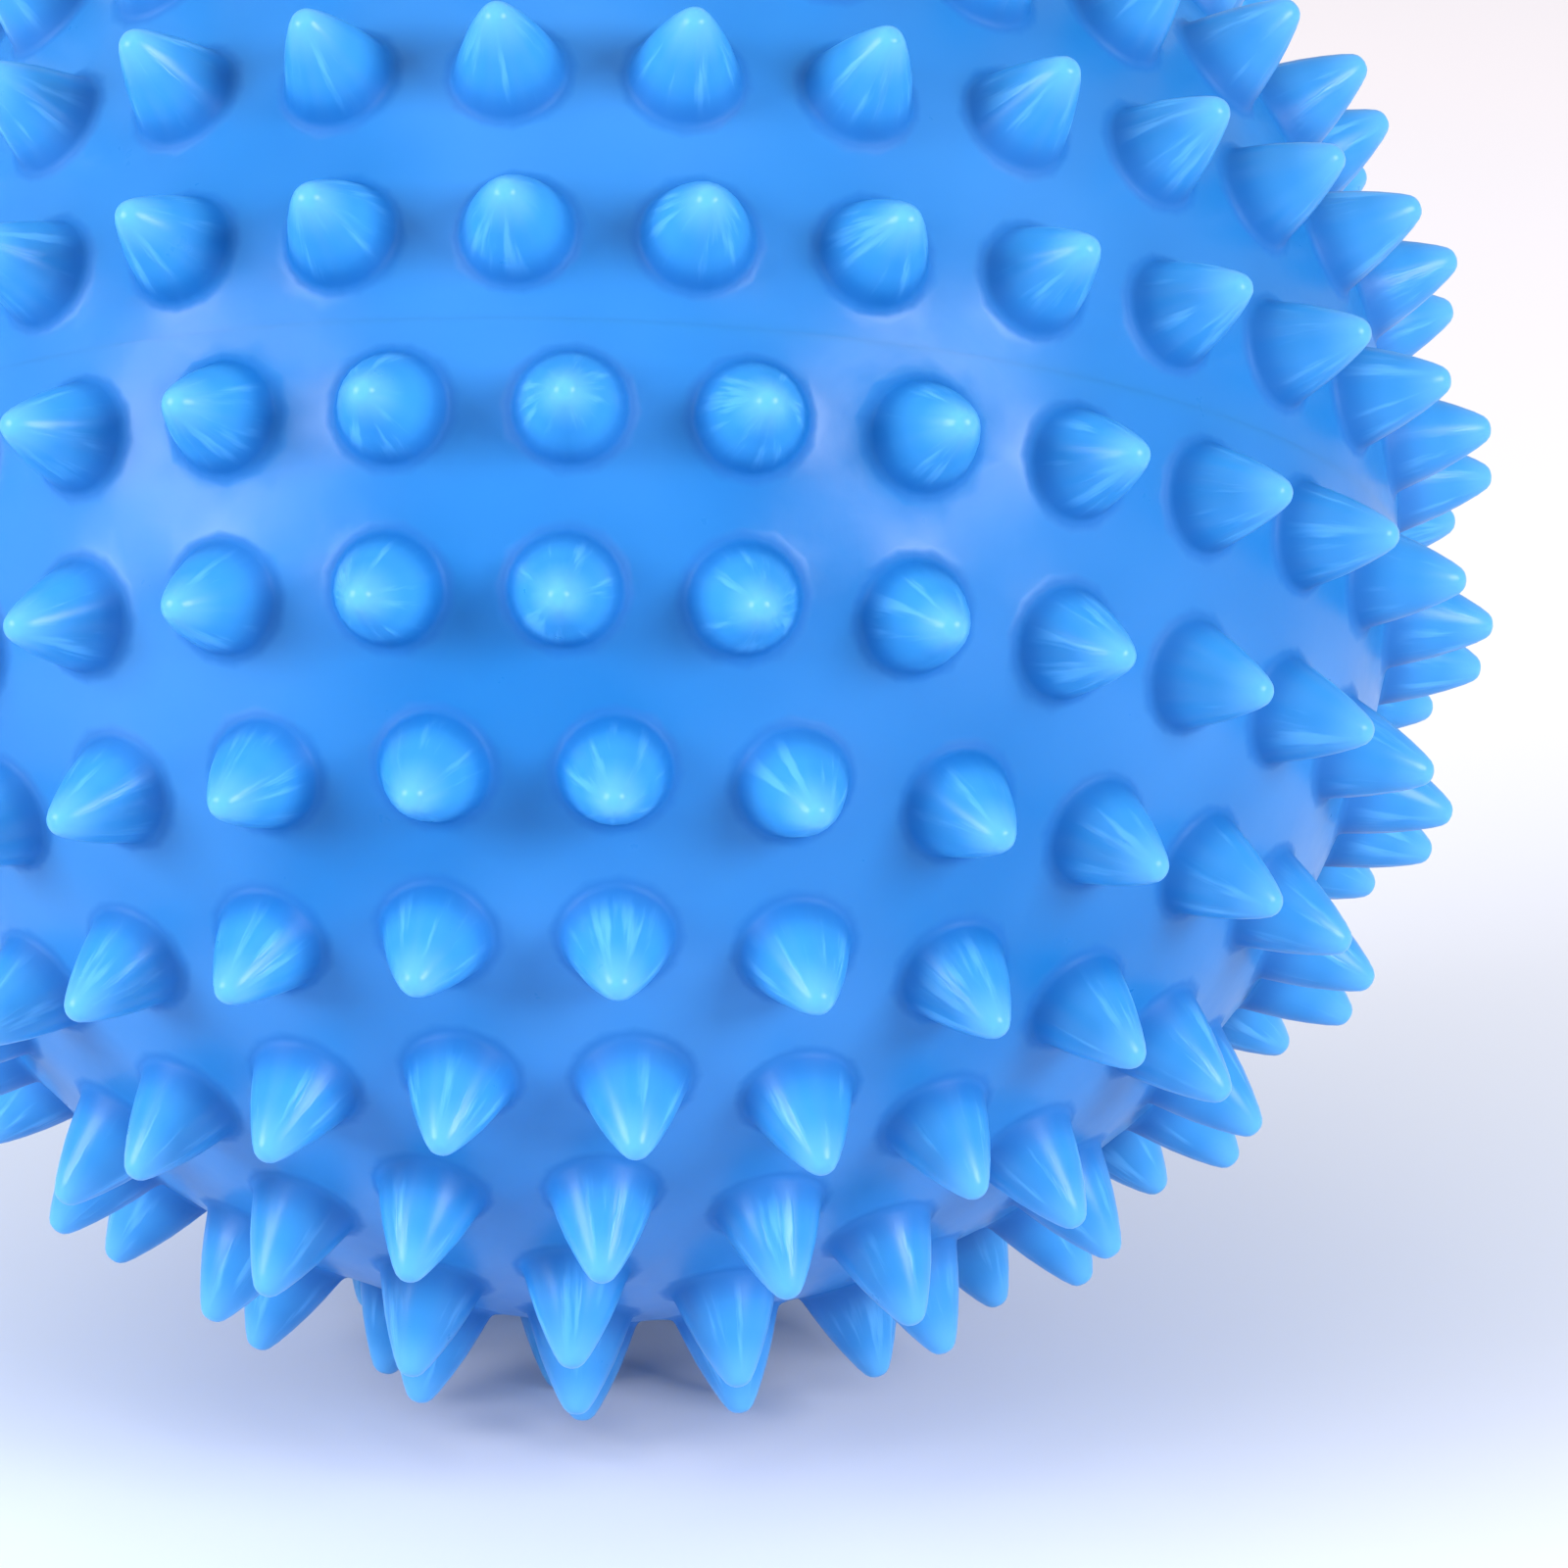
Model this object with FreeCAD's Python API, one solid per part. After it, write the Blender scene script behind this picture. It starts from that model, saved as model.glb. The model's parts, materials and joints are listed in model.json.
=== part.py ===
import FreeCAD, Part
import itertools
import math
import os
from FreeCAD import Placement, Rotation, Vector

# Dryer ball: a hollow ball of soft plastic with conical spikes all over. Two moulded half
# shells meet in a tongue and groove at the equator and are joined by a weld bead. A valve
# body is cemented into the upper pole, and a pull-out plug closes it.
#
# Every piece is drawn in the mould's own frame: the centre of the ball is the origin, +Z is
# the mould axis through the valve, and the front of the ball faces -Y. The finished pieces
# are then turned and raised together, so that the ball stands on three spike tips on Z = 0.
# Lengths are in millimetres, angles in degrees.

# Overall sizes
ball_radius = 31.0  # plain ball, between the spikes
wall = 2.0
spike_height = 4.0  # from the plain ball to the very tip
spike_foot_radius = 2.05  # where the spike leaves the ball
spike_tip_radius = 0.72
spike_side_radius = 12.0  # the sides of the cone bulge outwards this gently

# Spike pattern: level rows about the mould axis, the same in both halves, none on the equator
rows_per_half = 7
spikes_round_equator = 30
# Turn of each row about the mould axis, from the row beside the equator to the polar row
upper_row_turns = [5.0, 4.0, 1.0, 6.0, -4.0, 9.0, 14.0]
lower_row_turns = [-3.0, -3.0, 1.0, 2.0, 5.0, 3.0, -2.0]

# Joint of the two halves, in a thickened rim inside the equator
rim_width = 3.4
rim_height = 3.0
tongue_width = 1.2
tongue_height = 1.5
tongue_clearance = 0.1  # on each side of the tongue
weld_thickness = 0.5  # bead between the tongue's top and the groove's end

# Valve in the upper pole
neck_radius = 3.2
flange_radius = 5.4
flange_thickness = 1.4
stem_radius = 2.4
stem_length = 4.0  # below the flange
bore_radius = 1.0
head_radius = 2.1
head_thickness = 1.2
head_clearance = 0.1  # round the plug's head in its recess
shank_clearance = 0.05  # running fit of the plug's shank in the bore
shank_end_gap = 1.2  # from the shank's end to the bore's inner mouth
shank_nose = 0.4  # chamfer on the shank's end
nail_notch_radius = 0.7  # for lifting the plug's head with a nail
nail_notch_depth = 0.9

# How the ball lies: the mould axis leans back from upright, towards this compass heading
lean_aim = 30.0
lean_heading = 5.0  # from +Y towards +X
resting_candidates = 8  # lowest spikes among which the three that carry the ball are found

# Worked out from the sizes above
inner_radius = ball_radius - wall
spike_root = wall / 2  # how deep each spike is keyed into the wall
row_step = 90.0 / (rows_per_half + 0.5)
tip_centre_radius = ball_radius + spike_height - spike_tip_radius
rim_inner_radius = ball_radius - rim_width
tongue_middle = ball_radius - rim_width / 2
groove_half_width = tongue_width / 2 + tongue_clearance
groove_depth = tongue_height + weld_thickness
flange_edge = math.sqrt(inner_radius**2 - flange_radius**2)
flange_floor = flange_edge - flange_thickness
stem_end = flange_floor - stem_length
recess_floor = ball_radius - head_thickness
recess_radius = head_radius + head_clearance
shank_radius = bore_radius - shank_clearance
shank_end = stem_end + shank_end_gap
clear_above = ball_radius + spike_height  # beyond every surface at the pole

MOULD_AXIS = Vector(0, 0, 1)
CENTRE = Vector(0, 0, 0)
BACKWARDS = Vector(0, 1, 0)
DOWN = Vector(0, 0, -1)


def line(start, end):
    return Part.LineSegment(start, end).toShape()


def upright_point(radius, angle):
    """Point in the XZ plane, from the ball's centre; the angle is in radians from +X to +Z."""
    return Vector(radius * math.cos(angle), 0, radius * math.sin(angle))


def arc_about_centre(radius, start, end):
    middle = upright_point(radius, (start + end) / 2)
    return Part.Arc(upright_point(radius, start), middle, upright_point(radius, end)).toShape()


def revolved(edges):
    """Solid of revolution about the mould axis from a closed outline in the XZ plane."""
    return Part.Face(Part.Wire(edges)).revolve(CENTRE, MOULD_AXIS, 360)


def post(radius, low, high):
    """Round bar on the mould axis."""
    return Part.makeCylinder(radius, high - low, Vector(0, 0, low), MOULD_AXIS)


def ring(inner, outer, low, high):
    """Square-cornered ring about the mould axis."""
    return post(outer, low, high).cut(post(inner, low, high))


def plain_half():
    """Upper half of the hollow ball with its thickened rim, before spikes and joint."""
    rim_foot = Vector(rim_inner_radius, 0, 0)
    rim_corner = Vector(rim_inner_radius, 0, rim_height)
    # A 45 degree slope leads from the rim's corner to the inner wall.
    corner_sum = rim_inner_radius + rim_height
    to_inner_wall = inner_radius**2 - rim_inner_radius**2 - rim_height**2
    slope = (math.sqrt(corner_sum**2 + 2 * to_inner_wall) - corner_sum) / 2
    slope_top = rim_corner + Vector(slope, 0, slope)
    slope_angle = math.atan2(slope_top.z, slope_top.x)
    quarter = math.pi / 2
    return revolved(
        [
            arc_about_centre(ball_radius, 0, quarter),
            line(upright_point(ball_radius, quarter), upright_point(inner_radius, quarter)),
            arc_about_centre(inner_radius, quarter, slope_angle),
            line(slope_top, rim_corner),
            line(rim_corner, rim_foot),
            line(rim_foot, upright_point(ball_radius, 0)),
        ]
    )


def spike():
    """One spike along +Z: a cone with bulging sides from inside the wall, and a ball tip."""
    # The side's circle passes through the foot and touches the tip's circle from outside it.
    foot = Vector(spike_foot_radius, 0, ball_radius)
    tip_centre = Vector(0, 0, tip_centre_radius)
    to_tip_centre = tip_centre - foot
    apart = to_tip_centre.Length
    from_tip_centre = spike_side_radius - spike_tip_radius
    along = (spike_side_radius**2 - from_tip_centre**2 + apart**2) / (2 * apart)
    aside = math.sqrt(spike_side_radius**2 - along**2)
    inwards = Vector(-to_tip_centre.z, 0, to_tip_centre.x) / apart
    side_centre = foot + to_tip_centre * (along / apart) + inwards * aside
    touch = tip_centre + (tip_centre - side_centre).normalize() * spike_tip_radius
    root = Vector(0, 0, ball_radius - spike_root)
    reach = math.sqrt(spike_side_radius**2 - (root.z - side_centre.z) ** 2)
    root_edge = Vector(side_centre.x + reach, 0, root.z)
    tip = Vector(0, 0, ball_radius + spike_height)
    halfway_side = (root_edge + touch) / 2 - side_centre
    halfway_tip = (touch + tip) / 2 - tip_centre
    side_middle = side_centre + halfway_side.normalize() * spike_side_radius
    tip_middle = tip_centre + halfway_tip.normalize() * spike_tip_radius
    return revolved(
        [
            line(root, root_edge),
            Part.Arc(root_edge, side_middle, touch).toShape(),
            Part.Arc(touch, tip_middle, tip).toShape(),
            line(tip, root),
        ]
    )


def direction(latitude, turn):
    """Unit vector from the ball's centre. Turn 0 is the front, and it grows towards +X."""
    level = math.cos(math.radians(latitude))
    sideways = level * math.sin(math.radians(turn))
    forwards = level * math.cos(math.radians(turn))
    return Vector(sideways, -forwards, math.sin(math.radians(latitude)))


def row_directions(half_sign, row_turns):
    """Directions of one half's spikes, row by row from the equator towards its pole."""
    directions = []
    for row in range(rows_per_half):
        latitude = (row + 0.5) * row_step
        count = round(spikes_round_equator * math.cos(math.radians(latitude)))
        for place in range(count):
            turn = row_turns[row] + place * 360.0 / count
            directions.append(direction(half_sign * latitude, turn))
    return directions


def with_spikes(half, directions):
    """The half with one spike moulded on along each direction."""
    pattern = spike()
    spikes = []
    for way in directions:
        placed = pattern.copy()
        placed.Placement = Placement(CENTRE, Rotation(MOULD_AXIS, way))
        spikes.append(placed)
    return half.fuse(spikes)


def upper_half_shell(directions):
    """Half with the groove for the other half's tongue and the hole for the valve's neck."""
    groove = ring(
        tongue_middle - groove_half_width, tongue_middle + groove_half_width, 0, groove_depth
    )
    valve_hole = post(neck_radius, flange_floor, clear_above)
    # Cut after the spikes are on, because the roots of the row beside the equator are as deep
    # as the groove's outer side.
    return with_spikes(plain_half(), directions).cut([groove, valve_hole])


def lower_half_shell(directions):
    """Half with the tongue that stands up from its rim."""
    upside_down = Placement(CENTRE, Rotation(Vector(1, 0, 0), 180))
    bowl = plain_half()
    bowl.Placement = upside_down
    tongue_inside = tongue_middle - tongue_width / 2
    tongue_outside = tongue_middle + tongue_width / 2
    # The tongue is rooted in the rim as deep as it stands above it.
    tongue = ring(tongue_inside, tongue_outside, -tongue_height, tongue_height)
    return with_spikes(bowl.fuse(tongue), directions)


def seam_weld_bead():
    """Bead of weld that fills the groove above the tongue and joins the halves."""
    inside = tongue_middle - groove_half_width
    return ring(inside, tongue_middle + groove_half_width, tongue_height, groove_depth)


def valve_body():
    """Flanged neck cemented into the pole, with a recess and a bore for the plug."""
    neck = post(neck_radius, flange_floor, clear_above).common(Part.makeSphere(ball_radius))
    flange = post(flange_radius, flange_floor, clear_above).common(Part.makeSphere(inner_radius))
    stem = post(stem_radius, stem_end, flange_floor)
    recess = post(recess_radius, recess_floor, clear_above)
    bore = post(bore_radius, stem_end, clear_above)
    notch_place = Vector(recess_radius, 0, ball_radius - nail_notch_depth)
    notch = Part.makeCylinder(nail_notch_radius, spike_height, notch_place, MOULD_AXIS)
    return neck.fuse([flange, stem]).cut([recess, bore, notch])


def valve_plug():
    """Plug with a flat head that lies flush with the ball and a shank down the bore."""
    head = post(head_radius, recess_floor, clear_above).common(Part.makeSphere(ball_radius))
    shank = post(shank_radius, shank_end + shank_nose, recess_floor)
    nose = Part.makeCone(
        shank_radius - shank_nose, shank_radius, shank_nose, Vector(0, 0, shank_end), MOULD_AXIS
    )
    return head.fuse([shank, nose])


def resting_plane(directions):
    """Way down and height of the ball's centre when it stands on three spike tips.

    The three tips are those that no other tip reaches past, nearest to the aimed lean.
    """
    aim = Rotation(Vector(1, 0, 0), lean_aim).multVec(DOWN)
    lowest = sorted(directions, key=lambda way: way.getAngle(aim))[:resting_candidates]
    best = None
    for first, second, third in itertools.combinations(lowest, 3):
        normal = (second - first).cross(third - first).normalize()
        if normal.dot(first) < 0:
            normal = -normal
        reach = normal.dot(first)
        if max(normal.dot(way) for way in lowest) > reach + 1e-9:
            continue
        if best is None or normal.dot(aim) > best[0].dot(aim):
            best = (normal, reach)
    way_down, reach = best
    return way_down, tip_centre_radius * reach + spike_tip_radius


def standing_placement(directions):
    """Turns the mould's frame so that the ball stands on Z = 0 over the origin."""
    way_down, centre_height = resting_plane(directions)
    set_down = Rotation(way_down, DOWN)
    leaning_axis = set_down.multVec(MOULD_AXIS)
    heading = math.degrees(math.atan2(leaning_axis.x, leaning_axis.y))
    face_heading = Rotation(Vector(0, 0, 1), heading - lean_heading)
    return Placement(Vector(0, 0, centre_height), face_heading.multiply(set_down))


upper_directions = row_directions(1, upper_row_turns)
# The lower pole carries a spike of its own; the upper pole carries the valve.
lower_directions = row_directions(-1, lower_row_turns) + [DOWN]

pieces = {
    "upper_half_shell": upper_half_shell(upper_directions),
    "lower_half_shell": lower_half_shell(lower_directions),
    "seam_weld_bead": seam_weld_bead(),
    "valve_body": valve_body(),
    "valve_plug": valve_plug(),
}

stand = standing_placement(upper_directions + lower_directions)
os.makedirs("parts", exist_ok=True)
for name, shape in pieces.items():
    solid = shape.Solids[0]
    solid.Placement = stand.multiply(solid.Placement)
    solid.exportStep("parts/" + name + ".step")
    print(name, len(shape.Solids), "solid", "volume", round(solid.Volume, 1), "mm3", solid.isValid())

plug_way = stand.Rotation.multVec(MOULD_AXIS)
print("spikes", len(upper_directions) + len(lower_directions))
print("centre height", round(stand.Base.z, 3))
print("mould axis", [round(value, 6) for value in plug_way])
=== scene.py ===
# %% [markdown]
# # Spiky dryer ball
#
# A hollow ball of soft blue vinyl with rows of conical spikes. It is moulded as two halves that
# are welded at the equator, and a small plug in a rubber collar closes the air hole in its upper
# pole. The exact pieces come from the imported model, and here they get their finished surfaces,
# a floor, light and a camera.
#
# The first cell loads the imported model and hangs its pieces under their rigid bodies.

import itertools
import json
import math

import bmesh
import bpy
from mathutils import Matrix, Quaternion, Vector

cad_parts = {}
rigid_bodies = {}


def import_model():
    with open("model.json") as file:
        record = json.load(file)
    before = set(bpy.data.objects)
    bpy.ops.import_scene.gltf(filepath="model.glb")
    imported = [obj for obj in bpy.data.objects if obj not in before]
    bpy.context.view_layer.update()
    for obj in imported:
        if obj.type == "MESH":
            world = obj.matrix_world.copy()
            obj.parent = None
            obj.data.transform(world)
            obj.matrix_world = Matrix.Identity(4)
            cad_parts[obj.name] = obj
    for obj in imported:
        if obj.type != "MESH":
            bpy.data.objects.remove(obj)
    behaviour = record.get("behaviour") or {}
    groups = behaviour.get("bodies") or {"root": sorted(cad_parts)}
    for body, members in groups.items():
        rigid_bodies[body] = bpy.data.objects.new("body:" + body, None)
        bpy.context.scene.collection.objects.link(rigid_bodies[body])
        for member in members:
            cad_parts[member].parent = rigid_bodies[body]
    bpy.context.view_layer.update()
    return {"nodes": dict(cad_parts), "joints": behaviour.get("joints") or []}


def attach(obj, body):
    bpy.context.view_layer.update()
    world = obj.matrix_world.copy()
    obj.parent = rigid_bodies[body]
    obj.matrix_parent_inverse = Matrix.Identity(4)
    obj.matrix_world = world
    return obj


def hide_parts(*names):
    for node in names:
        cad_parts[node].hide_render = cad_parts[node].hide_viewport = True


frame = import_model()

# %% [markdown]
# ## Sizes
#
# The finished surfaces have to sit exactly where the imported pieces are, so they are drawn from
# the same sizes as those pieces. Everything is in metres. The mould's own frame has the centre
# of the ball at its origin and +Z along the mould axis, through the valve.

# %% Sizes of the ball, its spikes and its joint
MM = 0.001
ball_radius = 31.0 * MM
wall = 2.0 * MM
spike_height = 4.0 * MM
spike_foot_radius = 2.05 * MM
spike_tip_radius = 0.72 * MM
spike_side_radius = 12.0 * MM

rows_per_half = 7
spikes_round_equator = 30
upper_row_turns = [5.0, 4.0, 1.0, 6.0, -4.0, 9.0, 14.0]
lower_row_turns = [-3.0, -3.0, 1.0, 2.0, 5.0, 3.0, -2.0]

rim_width = 3.4 * MM
rim_height = 3.0 * MM
tongue_width = 1.2 * MM
tongue_height = 1.5 * MM
tongue_clearance = 0.1 * MM
weld_thickness = 0.5 * MM

lean_aim = 30.0
lean_heading = 5.0
resting_candidates = 8

inner_radius = ball_radius - wall
tip_centre_radius = ball_radius + spike_height - spike_tip_radius
UP = Vector((0, 0, 1))
DOWN = Vector((0, 0, -1))
print("ball", ball_radius * 2, "m across, over the spikes", (ball_radius + spike_height) * 2, "m")

# %% [markdown]
# ## Rows of spikes
#
# The spikes stand in level rows about the mould axis, twelve degrees apart, and no row lies on
# the equator, where the halves meet. Each row has as many spikes as fit at the spacing of the
# widest row, so the rows drift past each other as they get smaller. A direction from the centre
# of the ball is enough to place a spike.

# %% Directions of all spikes
def direction(latitude, turn):
    """Unit vector in the mould's frame. Turn 0 is the front, and it grows towards +X."""
    level = math.cos(math.radians(latitude))
    sideways = level * math.sin(math.radians(turn))
    forwards = level * math.cos(math.radians(turn))
    return Vector((sideways, -forwards, math.sin(math.radians(latitude))))


def row_directions(half_sign, row_turns):
    """Directions of one half's spikes, row by row from the equator towards its pole."""
    directions = []
    for row in range(rows_per_half):
        latitude = (row + 0.5) * 90.0 / (rows_per_half + 0.5)
        count = round(spikes_round_equator * math.cos(math.radians(latitude)))
        for place in range(count):
            turn = row_turns[row] + place * 360.0 / count
            directions.append(direction(half_sign * latitude, turn))
    return directions


upper_directions = row_directions(1, upper_row_turns)
lower_directions = row_directions(-1, lower_row_turns) + [DOWN]
print("spikes", len(upper_directions), "above the seam and", len(lower_directions), "below")

# %% [markdown]
# ## How the ball stands
#
# A spiky ball rests on three spike tips. The three lowest tips that no other tip reaches past
# give the way down, and the whole ball is turned so that this way points at the floor. The
# result is compared with the plug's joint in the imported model, whose axis is the mould axis.

# %% Standing turn and height
def resting_plane(directions):
    """Way down and height of the centre when the ball stands on three spike tips."""
    aim = Quaternion((1, 0, 0), math.radians(lean_aim)) @ DOWN
    lowest = sorted(directions, key=lambda way: way.angle(aim))[:resting_candidates]
    best = None
    for first, second, third in itertools.combinations(lowest, 3):
        normal = (second - first).cross(third - first).normalized()
        if normal.dot(first) < 0:
            normal = -normal
        reach = normal.dot(first)
        if max(normal.dot(way) for way in lowest) > reach + 1e-6:
            continue
        if best is None or normal.dot(aim) > best[0].dot(aim):
            best = (normal, reach)
    way_down, reach = best
    return way_down, tip_centre_radius * reach + spike_tip_radius


way_down, centre_height = resting_plane(upper_directions + lower_directions)
set_down = way_down.rotation_difference(DOWN)
leaning_axis = set_down @ UP
heading = math.atan2(leaning_axis.x, leaning_axis.y)
face_heading = Quaternion((0, 0, 1), heading - math.radians(lean_heading))
ball_centre = Vector((0, 0, centre_height))
standing = Matrix.Translation(ball_centre) @ (face_heading @ set_down).to_matrix().to_4x4()
mould_axis = (face_heading @ set_down) @ UP
joint_axis = Vector(frame["joints"][0]["axis"])
print("centre height", round(centre_height, 6), "m")
axis_error = math.degrees(mould_axis.angle(joint_axis))
print("mould axis is off the plug's joint by", round(axis_error, 4), "degrees")

# %% [markdown]
# ## One spike
#
# Each spike is a cone with gently bulging sides that runs into a round tip, with a small fillet
# at its foot where the steel mould was rounded. It is used nearly three hundred times, so it is
# kept to twelve sides and a few rings, and one level of Subdivision Surface rounds it off later.
# The outline is a row of points that is spun about +Z. Subdivision pulls a twelve-sided ring
# inwards by a few percent, so the rings start that much too wide.

# %% Spin the spike
spike_sides = 12
skirt_radius = 2.4 * MM
fillet_height = 0.3 * MM
rounding_loss = 0.75 + 0.25 * math.cos(2 * math.pi / spike_sides)


def spike_outline():
    """Radius and height above the ball's centre, from the fillet's outer edge to the tip."""
    # The side is an arc through the foot that touches the tip's circle from outside.
    tip_rise = tip_centre_radius - ball_radius
    apart = math.hypot(spike_foot_radius, tip_rise)
    from_tip = spike_side_radius - spike_tip_radius
    along = (spike_side_radius**2 - from_tip**2 + apart**2) / (2 * apart)
    aside = math.sqrt(spike_side_radius**2 - along**2)
    arc_x = spike_foot_radius - (spike_foot_radius * along + tip_rise * aside) / apart
    arc_z = (tip_rise * along - spike_foot_radius * aside) / apart
    touch_angle = math.atan2(tip_rise - arc_z, -arc_x)
    shoulder_angle = (touch_angle + math.pi / 2) / 2

    def on_side(height):
        return (arc_x + math.sqrt(spike_side_radius**2 - (height - arc_z) ** 2), ball_radius + height)

    def on_tip(angle):
        return (spike_tip_radius * math.cos(angle), tip_centre_radius + spike_tip_radius * math.sin(angle))

    foot_radius, foot_height = on_side(0.0)
    return [
        (skirt_radius, math.sqrt(ball_radius**2 - skirt_radius**2)),
        (foot_radius + 0.05 * MM, foot_height + 0.03 * MM),
        on_side(fillet_height),
        on_side(spike_height * 0.45),
        on_tip(touch_angle),
        on_tip(shoulder_angle),
        (0.0, ball_radius + spike_height),
    ]


def spin_outline(bm, outline, steps):
    """Draws an outline of (radius, height) points in the XZ plane and spins it about +Z."""
    points = [bm.verts.new((radius, 0, height)) for radius, height in outline]
    lines = [bm.edges.new(pair) for pair in zip(points, points[1:])]
    bmesh.ops.spin(
        bm, geom=points + lines, cent=(0, 0, 0), axis=(0, 0, 1), dvec=(0, 0, 0),
        angle=2 * math.pi, steps=steps, use_merge=True, use_duplicate=False,
    )
    bmesh.ops.remove_doubles(bm, verts=bm.verts[:], dist=1e-7)


spike_bm = bmesh.new()
outline = spike_outline()
widened = [outline[0]] + [(radius / rounding_loss, height) for radius, height in outline[1:]]
spin_outline(spike_bm, widened, spike_sides)
spike_mesh = bpy.data.meshes.new("one_spike")
spike_bm.to_mesh(spike_mesh)
skirt_numbers = [vert.index for vert in spike_bm.verts if vert.is_boundary]
spike_points = len(spike_bm.verts)
print("one spike has", len(spike_bm.faces), "faces, and its skirt has", len(skirt_numbers), "points")
spike_bm.free()

# %% [markdown]
# ## The half shells
#
# On the real ball the spikes and the wall are one moulding, so each half is one closed mesh
# here too. Modelling the wall between the spikes by hand would be slow, and joining cones to a
# ball with booleans leaves long thin faces that show in a glossy surface. Instead the spikes
# are placed first. Then a convex hull is stretched over their skirts, over points spread evenly
# between them and over the rim. All of those points lie on the ball, so the hull is the ball's
# skin, and its lids over the skirts and over the open rim are taken away again.
#
# The inside is an outline spun about the mould axis. It has the thick rim with the groove or
# the tongue that joins the halves.

# %% Helpers for the half shells
skirt_spacing = 1.35  # nearest point of the skin, in skirt radii from a spike's middle
clear_of_edge = 0.9 * MM
lining_steps = 96
sharp_corner = 25  # degrees


def between_points(directions, hole_radius):
    """Evenly spread points on the upper half's skin that keep clear of skirts and edges."""
    even_ball = bmesh.new()
    bmesh.ops.create_icosphere(even_ball, subdivisions=5, radius=ball_radius)
    clear_of_spike = math.cos(skirt_spacing * skirt_radius / ball_radius)
    kept = []
    for vert in even_ball.verts:
        way = vert.co.normalized()
        off_axis = math.hypot(vert.co.x, vert.co.y)
        if vert.co.z < clear_of_edge or off_axis < hole_radius + clear_of_edge:
            continue
        if max(way.dot(spike) for spike in directions) < clear_of_spike:
            kept.append(way * ball_radius)
    even_ball.free()
    return kept


def place_spikes(bm, directions, spike_place):
    """Adds one spike along each direction, and returns the ring of points round each foot."""
    skirts = []
    for number, way in enumerate(directions):
        bm.from_mesh(spike_mesh)
        bm.verts.ensure_lookup_table()
        new = bm.verts[-spike_points:]
        for vert in new:
            # Where the point is on its spike: round it, and up it. The whole number keeps the
            # pattern of each spike different.
            side = Vector((vert.co.x, vert.co.y)).normalized()
            up = max(0.0, (vert.co.z - ball_radius) / spike_height)
            vert[spike_place] = (side.x, side.y, number * 3.0 + up)
        turn = UP.rotation_difference(way).to_matrix().to_4x4()
        bmesh.ops.transform(bm, matrix=turn, verts=new)
        skirts.append([new[index] for index in skirt_numbers])
    return skirts


def half_shell(directions, lining, hole_radius):
    """Closed mesh of an upper half, from its spikes and the outline of its inside."""
    bm = bmesh.new()
    spike_place = bm.verts.layers.float_vector.new("spike_place")
    crease = bm.edges.layers.float.new("crease_edge")
    inside = bmesh.new()
    spin_outline(inside, lining, lining_steps)
    lining_mesh = bpy.data.meshes.new("lining")
    inside.to_mesh(lining_mesh)
    inside.free()
    bm.from_mesh(lining_mesh)
    bpy.data.meshes.remove(lining_mesh)
    bm.verts.ensure_lookup_table()
    for edge in bm.edges:
        if len(edge.link_faces) < 2 or edge.calc_face_angle() > math.radians(sharp_corner):
            edge[crease] = 1.0
            edge.smooth = False
    rim = [vert for vert in bm.verts if vert.is_boundary]
    rings = [[vert for vert in rim if vert.co.z < 1e-6], [vert for vert in rim if vert.co.z > 1e-6]]
    rings += place_spikes(bm, directions, spike_place)
    loose = [bm.verts.new(point) for point in between_points(directions, hole_radius)]
    ring_points = [vert for ring in rings for vert in ring]
    hull = bmesh.ops.convex_hull(bm, input=ring_points + loose, use_existing_faces=False)
    ring_of = {vert: number for number, ring in enumerate(rings) for vert in ring}
    lids = []
    for face in hull["geom"]:
        if isinstance(face, bmesh.types.BMFace):
            numbers = {ring_of.get(vert, -1) for vert in face.verts}
            if len(numbers) == 1 and -1 not in numbers:
                lids.append(face)
    bmesh.ops.delete(bm, geom=lids, context="FACES")
    open_edges = sum(1 for edge in bm.edges if len(edge.link_faces) != 2)
    bmesh.ops.recalc_face_normals(bm, faces=bm.faces[:])
    volume = round(bm.calc_volume() * 1e9, 1)
    print("half shell:", len(bm.faces), "faces,", open_edges, "open edges, volume", volume, "mm3")
    return bm


def arc(radius, start, end, steps):
    """Points (radius, height) on a circle about the centre; angles from the equator, in degrees."""
    angles = [math.radians(start + (end - start) * step / steps) for step in range(steps + 1)]
    return [(radius * math.cos(angle), radius * math.sin(angle)) for angle in angles]


def new_piece(name, bm, body, node, levels):
    """Stands the mesh with the ball, and makes it a piece that rides on a body."""
    bmesh.ops.transform(bm, matrix=standing, verts=bm.verts[:])
    mesh = bpy.data.meshes.new(name)
    bm.to_mesh(mesh)
    bm.free()
    for polygon in mesh.polygons:
        polygon.use_smooth = True
    piece = bpy.data.objects.new(name, mesh)
    bpy.context.collection.objects.link(piece)
    if levels:
        rounding = piece.modifiers.new("rounding", "SUBSURF")
        rounding.levels = levels
        rounding.render_levels = levels
    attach(piece, body)
    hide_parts(node)
    return piece


# %% [markdown]
# The inside of both halves starts at the outer edge of the rim, runs in along the flat where
# the halves meet, up the thick rim and its slope, and round the inner wall. The upper half has
# a groove in its flat and ends at the valve's hole. The lower half has a tongue and closes at
# its pole.

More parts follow.
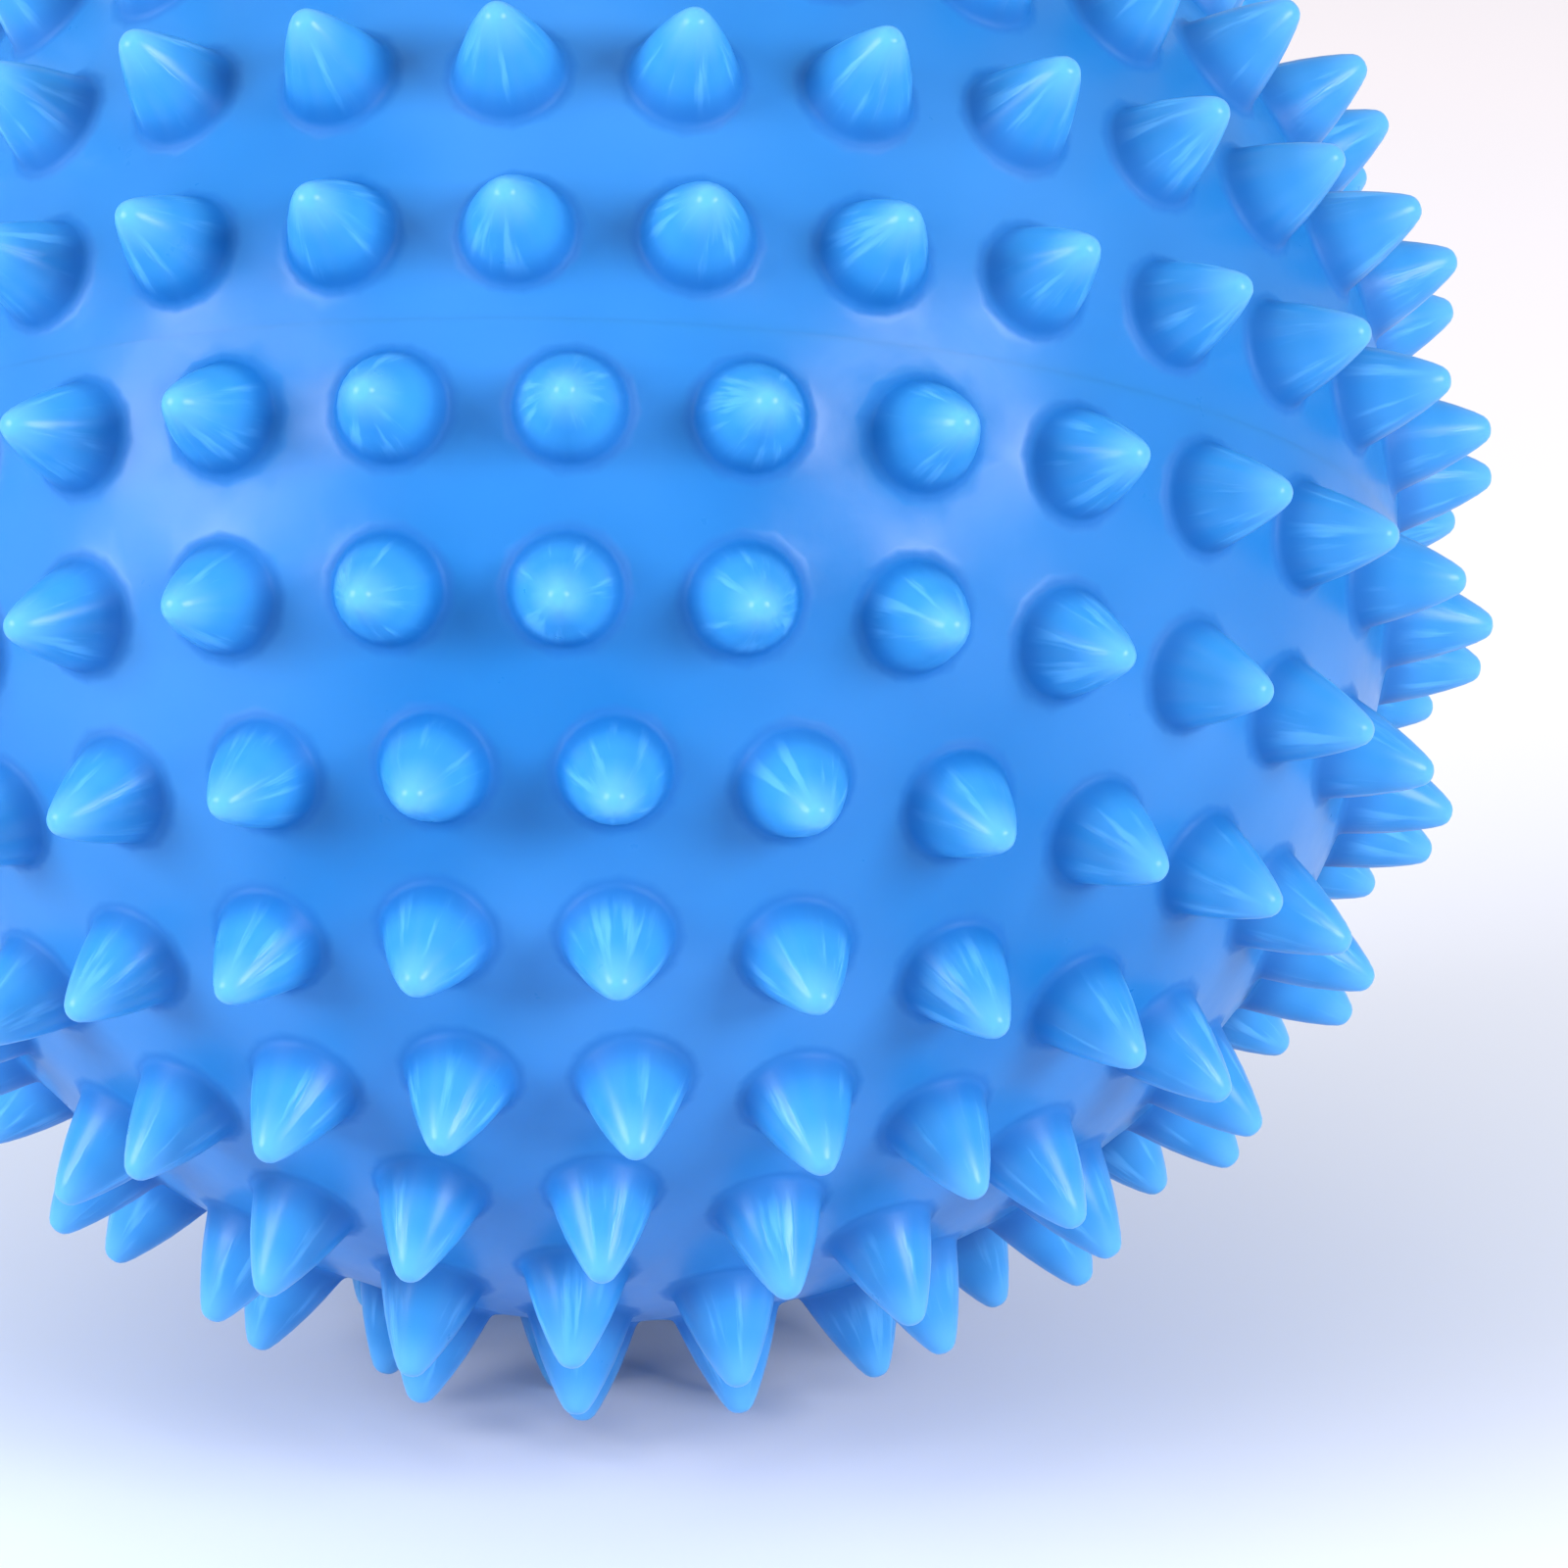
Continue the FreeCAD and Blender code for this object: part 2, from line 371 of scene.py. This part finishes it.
# %% Inside of the halves
neck_radius = 3.2 * MM
rim_inner_radius = ball_radius - rim_width
tongue_middle = ball_radius - rim_width / 2
groove_depth = tongue_height + weld_thickness
groove_out = tongue_middle + tongue_width / 2 + tongue_clearance
groove_in = tongue_middle - tongue_width / 2 - tongue_clearance
tongue_out = tongue_middle + tongue_width / 2
tongue_in = tongue_middle - tongue_width / 2
corner_sum = rim_inner_radius + rim_height
to_inner_wall = inner_radius**2 - rim_inner_radius**2 - rim_height**2
slope = (math.sqrt(corner_sum**2 + 2 * to_inner_wall) - corner_sum) / 2
slope_top = math.degrees(math.asin((rim_height + slope) / inner_radius))
rim_rise = [(rim_inner_radius, 0), (rim_inner_radius, rim_height)]
hole_angle = math.degrees(math.acos(neck_radius / inner_radius))

upper_lining = [(ball_radius, 0), (groove_out, 0), (groove_out, groove_depth), (groove_in, groove_depth)]
upper_lining += [(groove_in, 0)] + rim_rise + arc(inner_radius, slope_top, hole_angle, 10)
upper_lining += [(neck_radius, math.sqrt(ball_radius**2 - neck_radius**2))]
lower_lining = [(ball_radius, 0), (tongue_out, 0), (tongue_out, -tongue_height), (tongue_in, -tongue_height)]
lower_lining += [(tongue_in, 0)] + rim_rise + arc(inner_radius, slope_top, 90, 10)
lower_lining[-1] = (0.0, inner_radius)

# %% Upper half
upper_bm = half_shell(upper_directions, upper_lining, neck_radius)
upper_half = new_piece("upper_half", upper_bm, "ball", "upper_half_shell", 1)

# %% [markdown]
# The lower half is drawn as an upper half too, because the same helper then serves both. Its
# spikes point the other way until the finished mesh is mirrored in the seam, and mirroring
# turns a mesh inside out, so its faces are turned round again.

# %% Lower half
seam_mirror = Matrix.Scale(-1, 4, UP)
mirrored_directions = [seam_mirror @ way for way in lower_directions]
lower_bm = half_shell(mirrored_directions, lower_lining, 0.0)
bmesh.ops.transform(lower_bm, matrix=seam_mirror, verts=lower_bm.verts[:])
bmesh.ops.reverse_faces(lower_bm, faces=lower_bm.faces[:])
lower_half = new_piece("lower_half", lower_bm, "ball", "lower_half_shell", 1)

# %% [markdown]
# ## Valve body
#
# A short rubber collar is cemented into the hole at the upper pole. Its flange lies against
# the inner wall, its neck fills the hole, and its stem reaches inwards. The outline is closed
# and is spun about the mould axis, and one side of the recess is pulled outwards into a scoop,
# where a nail lifts the plug. A fine bevel on every corner catches the light as soft rubber does.

# %% Spin the valve body
flange_radius = 5.4 * MM
flange_thickness = 1.4 * MM
stem_radius = 2.4 * MM
stem_length = 4.0 * MM
bore_radius = 1.0 * MM
head_radius = 2.1 * MM
head_thickness = 1.2 * MM
head_clearance = 0.1 * MM
nail_notch_radius = 0.7 * MM
collar_bevel = 0.09 * MM

flange_floor = math.sqrt(inner_radius**2 - flange_radius**2) - flange_thickness
stem_end = flange_floor - stem_length
recess_floor = ball_radius - head_thickness
recess_radius = head_radius + head_clearance


def skin_height(radius):
    """Height of the ball's outer surface above its centre, at a distance from the mould axis."""
    return math.sqrt(ball_radius**2 - radius**2)


def bevel_corners(bm, width, sharpest):
    """Rounds every edge whose faces turn by more than an angle in degrees."""
    limit = math.radians(sharpest)
    corners = [edge for edge in bm.edges if edge.is_manifold and edge.calc_face_angle() > limit]
    bmesh.ops.bevel(bm, geom=corners, offset=width, segments=2, affect="EDGES", profile=0.5, material=-1)


collar_bm = bmesh.new()
collar_outline = [
    (recess_radius, skin_height(recess_radius)),
    (neck_radius, skin_height(neck_radius)),
    (neck_radius, math.sqrt(inner_radius**2 - neck_radius**2)),
    (flange_radius, math.sqrt(inner_radius**2 - flange_radius**2)),
    (flange_radius, flange_floor),
    (stem_radius, flange_floor),
    (stem_radius, stem_end),
    (bore_radius, stem_end),
    (bore_radius, recess_floor),
    (recess_radius, recess_floor),
    (recess_radius, skin_height(recess_radius)),
]
spin_outline(collar_bm, collar_outline, 48)
for vert in collar_bm.verts:
    on_lip = abs(math.hypot(vert.co.x, vert.co.y) - recess_radius) < 1e-7 and vert.co.z > recess_floor + 1e-7
    if on_lip and vert.co.x > 0 and abs(vert.co.y) < nail_notch_radius:
        vert.co.x += math.sqrt(nail_notch_radius**2 - vert.co.y**2)
bmesh.ops.recalc_face_normals(collar_bm, faces=collar_bm.faces[:])
bevel_corners(collar_bm, collar_bevel, 30)
print("valve body:", len(collar_bm.faces), "faces, volume", round(collar_bm.calc_volume() * 1e9, 1), "mm3")
valve_collar = new_piece("valve_collar", collar_bm, "ball", "valve_body", 0)

# %% [markdown]
# ## Plug
#
# The plug is a moulded peg with a flat head that lies flush with the ball. It slides out along
# the mould axis, so it rides on its own body. Its head is slightly domed like the ball, with a
# shallow dimple where the plastic entered the mould.

# %% Spin the plug
shank_clearance = 0.05 * MM
shank_end_gap = 1.2 * MM
shank_radius = bore_radius - shank_clearance
shank_end = stem_end + shank_end_gap
shank_nose = 0.4 * MM
dimple_radius = 0.55 * MM
dimple_depth = 0.12 * MM
plug_bevel = 0.1 * MM

plug_bm = bmesh.new()
plug_outline = [
    (0.0, skin_height(0) - dimple_depth),
    (dimple_radius * 0.6, skin_height(0) - dimple_depth),
    (dimple_radius, skin_height(dimple_radius)),
    (head_radius * 0.7, skin_height(head_radius * 0.7)),
    (head_radius, skin_height(head_radius)),
    (head_radius, recess_floor),
    (shank_radius, recess_floor),
    (shank_radius, shank_end + shank_nose),
    (shank_radius - shank_nose, shank_end),
    (0.0, shank_end),
]
spin_outline(plug_bm, plug_outline, 40)
bmesh.ops.recalc_face_normals(plug_bm, faces=plug_bm.faces[:])
bevel_corners(plug_bm, plug_bevel, 30)
print("plug:", len(plug_bm.faces), "faces, volume", round(plug_bm.calc_volume() * 1e9, 1), "mm3")
pull_plug = new_piece("pull_plug", plug_bm, "plug", "valve_plug", 0)

# %% [markdown]
# ## Finish of the vinyl
#
# Soft vinyl is coloured right through and lets a little light in, so small places such as the
# spike tips look lighter and greener, and the wall looks deeper blue. Here that light is painted
# into the colour: painted light on the spikes and tips, and painted shade in the fillets at the
# spike feet. Four small node groups hold the effects:
#
# - how far a point stands out from the ball, as masks for spike, foot, side and tip,
# - soft clouds of colour and gloss, as in most soft mouldings,
# - the grain that the mould leaves, with a few pits,
# - pale streaks up each spike, painted highlights with a slight bump.

# %% Small helpers for node trees
def add_node(tree, kind, **settings):
    """Adds a node. A setting named after an input fills that input, others set the node itself."""
    node = tree.nodes.new(kind)
    for name, value in settings.items():
        if name in node.bl_rna.properties:
            setattr(node, name, value)
        else:
            node.inputs[name.replace("_", " ")].default_value = value
    return node


def new_group(name, inputs, outputs):
    """Starts a node group; inputs and outputs are (name, socket type, default) rows."""
    group = bpy.data.node_groups.new(name, "ShaderNodeTree")
    for label, kind, default in inputs:
        socket = group.interface.new_socket(label, in_out="INPUT", socket_type=kind)
        socket.default_value = default
    for label, kind in outputs:
        group.interface.new_socket(label, in_out="OUTPUT", socket_type=kind)
    return group, group.nodes.new("NodeGroupInput"), group.nodes.new("NodeGroupOutput")


def math_node(tree, operation, first, second=None, clamp=False):
    """A Math node; first and second are sockets or plain numbers."""
    node = tree.nodes.new("ShaderNodeMath")
    node.operation = operation
    node.use_clamp = clamp
    for slot, value in enumerate([first, second]):
        if value is None:
            continue
        if isinstance(value, (int, float)):
            node.inputs[slot].default_value = value
        else:
            tree.links.new(value, node.inputs[slot])
    return node.outputs[0]


# %% Group: how far a point stands out from the ball
stand_out, group_in, group_out = new_group(
    "stand_out",
    [("Centre Height", "NodeSocketFloat", centre_height)],
    [(mask, "NodeSocketFloat") for mask in ("Spike", "Foot", "Side", "Tip")],
)
place = add_node(stand_out, "ShaderNodeTexCoord")
centre = add_node(stand_out, "ShaderNodeCombineXYZ")
stand_out.links.new(group_in.outputs["Centre Height"], centre.inputs["Z"])
from_centre = add_node(stand_out, "ShaderNodeVectorMath", operation="SUBTRACT")
stand_out.links.new(place.outputs["Object"], from_centre.inputs[0])
stand_out.links.new(centre.outputs[0], from_centre.inputs[1])
distance = add_node(stand_out, "ShaderNodeVectorMath", operation="LENGTH")
stand_out.links.new(from_centre.outputs[0], distance.inputs[0])
height = math_node(stand_out, "SUBTRACT", distance.outputs["Value"], ball_radius)
spike_share = add_node(stand_out, "ShaderNodeMapRange", interpolation_type="SMOOTHSTEP")
spike_share.inputs["From Min"].default_value = 0.2 * MM
spike_share.inputs["From Max"].default_value = 1.9 * MM
stand_out.links.new(height, spike_share.inputs["Value"])
stand_out.links.new(spike_share.outputs[0], group_out.inputs["Spike"])
# The foot mask is 1 just above the skin and fades to 0 on the skin and up the cone.
foot_rise = math_node(stand_out, "DIVIDE", height, 0.04 * MM, clamp=True)
foot_fall = math_node(stand_out, "DIVIDE", height, 1.1 * MM, clamp=True)
foot_gone = math_node(stand_out, "SUBTRACT", 1.0, foot_fall)
foot = math_node(stand_out, "MULTIPLY", foot_rise, foot_gone)
stand_out.links.new(foot, group_out.inputs["Foot"])
# The side mask is 1 on the cone's side and fades to 0 before the tip.
tip_share = add_node(stand_out, "ShaderNodeMapRange", interpolation_type="SMOOTHSTEP")
tip_share.inputs["From Min"].default_value = 2.2 * MM
tip_share.inputs["From Max"].default_value = 3.8 * MM
tip_share.inputs["To Min"].default_value = 1.0
tip_share.inputs["To Max"].default_value = 0.0
stand_out.links.new(height, tip_share.inputs["Value"])
side = math_node(stand_out, "MULTIPLY", spike_share.outputs[0], tip_share.outputs[0])
stand_out.links.new(side, group_out.inputs["Side"])
tip = math_node(stand_out, "SUBTRACT", 1.0, tip_share.outputs[0])
stand_out.links.new(tip, group_out.inputs["Tip"])

# %% Group: soft clouds
clouds, group_in, group_out = new_group(
    "vinyl_clouds",
    [("Size", "NodeSocketFloat", 60.0)],
    [("Cloud", "NodeSocketFloat"), ("Fine", "NodeSocketFloat")],
)
place = add_node(clouds, "ShaderNodeTexCoord")
broad = add_node(clouds, "ShaderNodeTexNoise", Detail=2.0, Roughness=0.5)
clouds.links.new(place.outputs["Object"], broad.inputs["Vector"])
clouds.links.new(group_in.outputs["Size"], broad.inputs["Scale"])
fine = add_node(clouds, "ShaderNodeTexNoise", Detail=4.0, Roughness=0.6)
clouds.links.new(place.outputs["Object"], fine.inputs["Vector"])
clouds.links.new(math_node(clouds, "MULTIPLY", group_in.outputs["Size"], 9.0), fine.inputs["Scale"])
clouds.links.new(broad.outputs["Fac"], group_out.inputs["Cloud"])
clouds.links.new(fine.outputs["Fac"], group_out.inputs["Fine"])

# %% Group: grain of the mould
grain, group_in, group_out = new_group(
    "mould_grain",
    [("Scale", "NodeSocketFloat", 2400.0), ("Pit Scale", "NodeSocketFloat", 500.0)],
    [("Height", "NodeSocketFloat"), ("Pits", "NodeSocketFloat")],
)
place = add_node(grain, "ShaderNodeTexCoord")
skin = add_node(grain, "ShaderNodeTexNoise", Detail=3.0, Roughness=0.6)
grain.links.new(place.outputs["Object"], skin.inputs["Vector"])
grain.links.new(group_in.outputs["Scale"], skin.inputs["Scale"])
pits = add_node(grain, "ShaderNodeTexVoronoi", Randomness=1.0)
grain.links.new(place.outputs["Object"], pits.inputs["Vector"])
grain.links.new(group_in.outputs["Pit Scale"], pits.inputs["Scale"])
pit = math_node(grain, "LESS_THAN", pits.outputs["Distance"], 0.12)
cell_colour = add_node(grain, "ShaderNodeSeparateXYZ")
grain.links.new(pits.outputs["Color"], cell_colour.inputs[0])
chosen_cell = math_node(grain, "GREATER_THAN", cell_colour.outputs["X"], 0.8)
few_pits = math_node(grain, "MULTIPLY", pit, chosen_cell)
grain.links.new(few_pits, group_out.inputs["Pits"])
lowered = math_node(grain, "SUBTRACT", skin.outputs["Fac"], few_pits)
grain.links.new(lowered, group_out.inputs["Height"])

# %% Group: painted highlight streaks up the spikes
streak_group, group_in, group_out = new_group(
    "highlight_streaks",
    [("Lines", "NodeSocketFloat", 2.2)],
    [("Line", "NodeSocketFloat")],
)
on_spike = add_node(streak_group, "ShaderNodeAttribute", attribute_name="spike_place")
squeeze = add_node(streak_group, "ShaderNodeMapping")
squeeze.inputs["Scale"].default_value = (1.0, 1.0, 0.30)
streak_group.links.new(on_spike.outputs["Vector"], squeeze.inputs["Vector"])
line_noise = add_node(streak_group, "ShaderNodeTexNoise", Detail=3.0, Roughness=0.55)
streak_group.links.new(squeeze.outputs[0], line_noise.inputs["Vector"])
streak_group.links.new(group_in.outputs["Lines"], line_noise.inputs["Scale"])
thread = add_node(streak_group, "ShaderNodeMapRange", interpolation_type="SMOOTHSTEP")
thread.inputs["From Min"].default_value = 0.53
thread.inputs["From Max"].default_value = 0.66
streak_group.links.new(line_noise.outputs["Fac"], thread.inputs["Value"])
streak_group.links.new(thread.outputs[0], group_out.inputs["Line"])
print("node groups:", [group.name for group in bpy.data.node_groups])

# %% [markdown]
# ## Materials
#
# The vinyl is a glossy plastic with a little light scattering under its skin. Its colour runs
# from a deep blue on the wall to a light sky blue at the tips. The deepest blue, in the fillets,
# is painted shade. The lighter spikes and tips are painted light, as if light shone through the
# thin vinyl, and the pale streaks up the spike sides are painted highlights. The rubber and the
# plug are the same family of colours, one duller and one glossier. The bead of weld inside the
# rim is a smear of the same vinyl.

# %% Vinyl of the half shells
def mix_colour(tree, factor, first, second, blend="MIX"):
    """A colour Mix node; factor, first and second are sockets or plain values."""
    node = tree.nodes.new("ShaderNodeMix")
    node.data_type = "RGBA"
    node.blend_type = blend
    for socket, value in [(node.inputs[0], factor), (node.inputs[6], first), (node.inputs[7], second)]:
        if isinstance(value, bpy.types.NodeSocket):
            tree.links.new(value, socket)
        elif isinstance(value, tuple):
            socket.default_value = (*value, 1.0)
        else:
            socket.default_value = value
    return node.outputs[2]


def spread(tree, value, low, high):
    """Stretches a 0 to 1 value to run from low to high."""
    node = add_node(tree, "ShaderNodeMapRange")
    node.inputs["To Min"].default_value = low
    node.inputs["To Max"].default_value = high
    tree.links.new(value, node.inputs["Value"])
    return node.outputs[0]


def place_group(tree, group, **values):
    """Places a node group and fills its named inputs."""
    node = tree.nodes.new("ShaderNodeGroup")
    node.node_tree = group
    for name, value in values.items():
        node.inputs[name.replace("_", " ")].default_value = value
    return node


def new_material(name):
    material = bpy.data.materials.new(name)
    material.use_nodes = True
    return material, material.node_tree, material.node_tree.nodes["Principled BSDF"]


wall_blue = (0.009, 0.158, 0.470)
wall_pale = (0.034, 0.210, 0.560)
painted_foot_shade = (0.004, 0.120, 0.430)
spike_painted_light = (0.036, 0.270, 0.650)
tip_painted_light = (0.085, 0.350, 0.740)
streak_highlight_blue = (0.150, 0.500, 0.920)

shell_vinyl, tree, surface = new_material("sky_blue_vinyl")
height_mask = place_group(tree, stand_out)
cloud_mask = place_group(tree, clouds, Size=65.0)
grain_mask = place_group(tree, grain)
streak_mask = place_group(tree, streak_group)
cloud = spread(tree, cloud_mask.outputs["Cloud"], -1.1, 2.1)
wall_colour = mix_colour(tree, cloud, wall_blue, wall_pale)
# Painted light: the spikes are lighter and their tips lightest, as if light shone through the thin vinyl.
spiked = mix_colour(tree, height_mask.outputs["Spike"], wall_colour, spike_painted_light)
tipped = mix_colour(tree, height_mask.outputs["Tip"], spiked, tip_painted_light)
# Painted shade: the fillet round each spike foot is darkened where shade gathers in the crease.
foot_shaded = mix_colour(tree, spread(tree, height_mask.outputs["Foot"], 0.0, 0.6), tipped, painted_foot_shade)
line_strength = math_node(tree, "MULTIPLY", streak_mask.outputs["Line"], height_mask.outputs["Side"])
# Painted highlight: pale streaks up the spike sides, with a slight bump below.
streaked = mix_colour(tree, spread(tree, line_strength, 0.0, 0.45), foot_shaded, streak_highlight_blue)
tree.links.new(streaked, surface.inputs["Base Color"])
duller_foot = spread(tree, height_mask.outputs["Foot"], 0.0, 0.3)
roughness = math_node(tree, "ADD", spread(tree, cloud_mask.outputs["Fine"], 0.24, 0.36), duller_foot)
tree.links.new(roughness, surface.inputs["Roughness"])
fine_bump = add_node(tree, "ShaderNodeBump", Strength=0.15, Distance=0.02 * MM)
tree.links.new(grain_mask.outputs["Height"], fine_bump.inputs["Height"])
streak_bump = add_node(tree, "ShaderNodeBump", Strength=0.25, Distance=0.08 * MM)
tree.links.new(line_strength, streak_bump.inputs["Height"])
tree.links.new(fine_bump.outputs["Normal"], streak_bump.inputs["Normal"])
tree.links.new(streak_bump.outputs["Normal"], surface.inputs["Normal"])
surface.inputs["IOR"].default_value = 1.45
surface.inputs["Specular IOR Level"].default_value = 0.27
surface.inputs["Subsurface Weight"].default_value = 0.2
surface.inputs["Subsurface Radius"].default_value = (0.4, 0.7, 1.0)
surface.inputs["Subsurface Scale"].default_value = 2.0 * MM
for piece in (upper_half, lower_half):
    piece.data.materials.append(shell_vinyl)

# %% Rubber, plug and weld
def plain_vinyl(name, deep, pale, gloss, grain_strength):
    """A simpler vinyl or rubber for the small pieces, with clouds of colour and mould grain."""
    material, tree, surface = new_material(name)
    cloud_mask = place_group(tree, clouds, Size=160.0)
    grain_mask = place_group(tree, grain)
    tree.links.new(mix_colour(tree, cloud_mask.outputs["Cloud"], deep, pale), surface.inputs["Base Color"])
    roughness = spread(tree, cloud_mask.outputs["Fine"], gloss - 0.05, gloss + 0.08)
    tree.links.new(roughness, surface.inputs["Roughness"])
    bump = add_node(tree, "ShaderNodeBump", Strength=grain_strength, Distance=0.03 * MM)
    tree.links.new(grain_mask.outputs["Height"], bump.inputs["Height"])
    tree.links.new(bump.outputs["Normal"], surface.inputs["Normal"])
    return material


collar_rubber = plain_vinyl("satin_blue_rubber", (0.02, 0.15, 0.62), (0.04, 0.20, 0.72), 0.45, 0.5)
valve_collar.data.materials.append(collar_rubber)
plug_vinyl = plain_vinyl("glossy_plug_vinyl", (0.04, 0.27, 0.85), (0.07, 0.33, 0.95), 0.25, 0.15)
pull_plug.data.materials.append(plug_vinyl)
weld_vinyl = plain_vinyl("fused_weld_vinyl", (0.02, 0.17, 0.66), (0.04, 0.22, 0.75), 0.35, 0.8)
weld_node = frame["nodes"]["seam_weld_bead"]
weld_node.data.materials.clear()
weld_node.data.materials.append(weld_vinyl)
print("materials:", sorted(material.name for material in bpy.data.materials))

# %% [markdown]
# ## Floor
#
# The ball lies on a pale sheet that is large enough to fill every view. Its colour carries painted
# light: a faint, dimmer blue in front and on the left that turns to a warm white towards the back
# right, in soft patches, so that it doesn't look like a void.

# %% Pale floor
floor_bm = bmesh.new()
bmesh.ops.create_grid(floor_bm, x_segments=8, y_segments=8, size=3.0)
floor_mesh = bpy.data.meshes.new("pale_floor")
floor_bm.to_mesh(floor_mesh)
floor_bm.free()
floor = bpy.data.objects.new("pale_floor", floor_mesh)
bpy.context.collection.objects.link(floor)
sheet, tree, surface = new_material("pale_sheet")
place = add_node(tree, "ShaderNodeTexCoord")
split = add_node(tree, "ShaderNodeSeparateXYZ")
tree.links.new(place.outputs["Object"], split.inputs[0])
sideways = math_node(tree, "MULTIPLY", split.outputs["X"], 2.2)
backwards = math_node(tree, "MULTIPLY", split.outputs["Y"], 2.0)
towards_back_right = math_node(tree, "ADD", math_node(tree, "ADD", sideways, backwards), 0.42, clamp=True)
cloud_mask = place_group(tree, clouds, Size=9.0)
patches = spread(tree, cloud_mask.outputs["Cloud"], -0.15, 0.15)
patchy = math_node(tree, "ADD", towards_back_right, patches, clamp=True)
# Painted light: a cool, dimmer cast in front and on the left and a warm, brighter one towards the back
# right.
painted_cool_light = (0.64, 0.76, 0.88)
painted_warm_light = (0.93, 0.87, 0.90)
tree.links.new(mix_colour(tree, patchy, painted_cool_light, painted_warm_light), surface.inputs["Base Color"])
surface.inputs["Roughness"].default_value = 0.6
floor.data.materials.append(sheet)

# %% [markdown]
# ## Light
#
# The room is bright and white all round. Two soft boxes stand left and right of the camera at
# the height of a table lamp and give the two broad pale patches on the skin. A large one high
# on the left lights the sheet, so the ball's soft shadow falls to the right.

# %% Soft boxes and bright room
def soft_box(name, azimuth, elevation, distance, width, height, power, tint):
    """Area light that faces the ball. Azimuth 0 is in front of it and grows towards +X."""
    turn, rise = math.radians(azimuth), math.radians(elevation)
    way = Vector((math.cos(rise) * math.sin(turn), -math.cos(rise) * math.cos(turn), math.sin(rise)))
    lamp = bpy.data.lights.new(name, "AREA")
    lamp.shape = "RECTANGLE"
    lamp.size, lamp.size_y = width, height
    lamp.energy = power
    lamp.color = tint
    holder = bpy.data.objects.new(name, lamp)
    bpy.context.collection.objects.link(holder)
    holder.location = ball_centre + way * distance
    holder.rotation_mode = "QUATERNION"
    holder.rotation_quaternion = way.to_track_quat("Z", "Y")
    return holder


soft_box("left_soft_box", -63, 21, 0.6, 0.32, 0.28, 3.6, (1.0, 0.98, 1.0))
soft_box("right_soft_box", 48, 24, 0.6, 0.25, 0.22, 3.2, (1.0, 0.98, 1.0))
soft_box("overhead_soft_box", -50, 64, 1.2, 1.3, 1.3, 3.4, (1.0, 0.99, 0.97))
room = bpy.data.worlds.new("bright_room")
room.use_nodes = True
room.node_tree.nodes["Background"].inputs["Color"].default_value = (0.96, 0.98, 1.0, 1.0)
room.node_tree.nodes["Background"].inputs["Strength"].default_value = 0.60
bpy.context.scene.world = room
bpy.context.scene.view_settings.view_transform = "Standard"

# %% [markdown]
# ## Camera
#
# A long lens looks down at the ball from a little above the floor, so the cones in the middle
# point nearly at the lens. The ball fills the left and upper part of the view.

# %% Camera
camera_distance = 0.310
camera_elevation = math.radians(16.3)
back = Vector((0, -math.cos(camera_elevation), math.sin(camera_elevation)))
above = Vector((0, math.sin(camera_elevation), math.cos(camera_elevation)))
look_at = ball_centre + Vector((6.8 * MM, 0, 0)) - above * 9.9 * MM
lens = bpy.data.cameras.new("long_lens")
lens.lens = 180.2
lens.sensor_width = 36.0
lens.clip_start = 0.01
camera = bpy.data.objects.new("camera", lens)
bpy.context.collection.objects.link(camera)
camera.location = ball_centre + back * camera_distance
camera.rotation_mode = "QUATERNION"
camera.rotation_quaternion = (camera.location - look_at).to_track_quat("Z", "Y")
bpy.context.scene.camera = camera
print("camera at", tuple(round(value, 4) for value in camera.location))
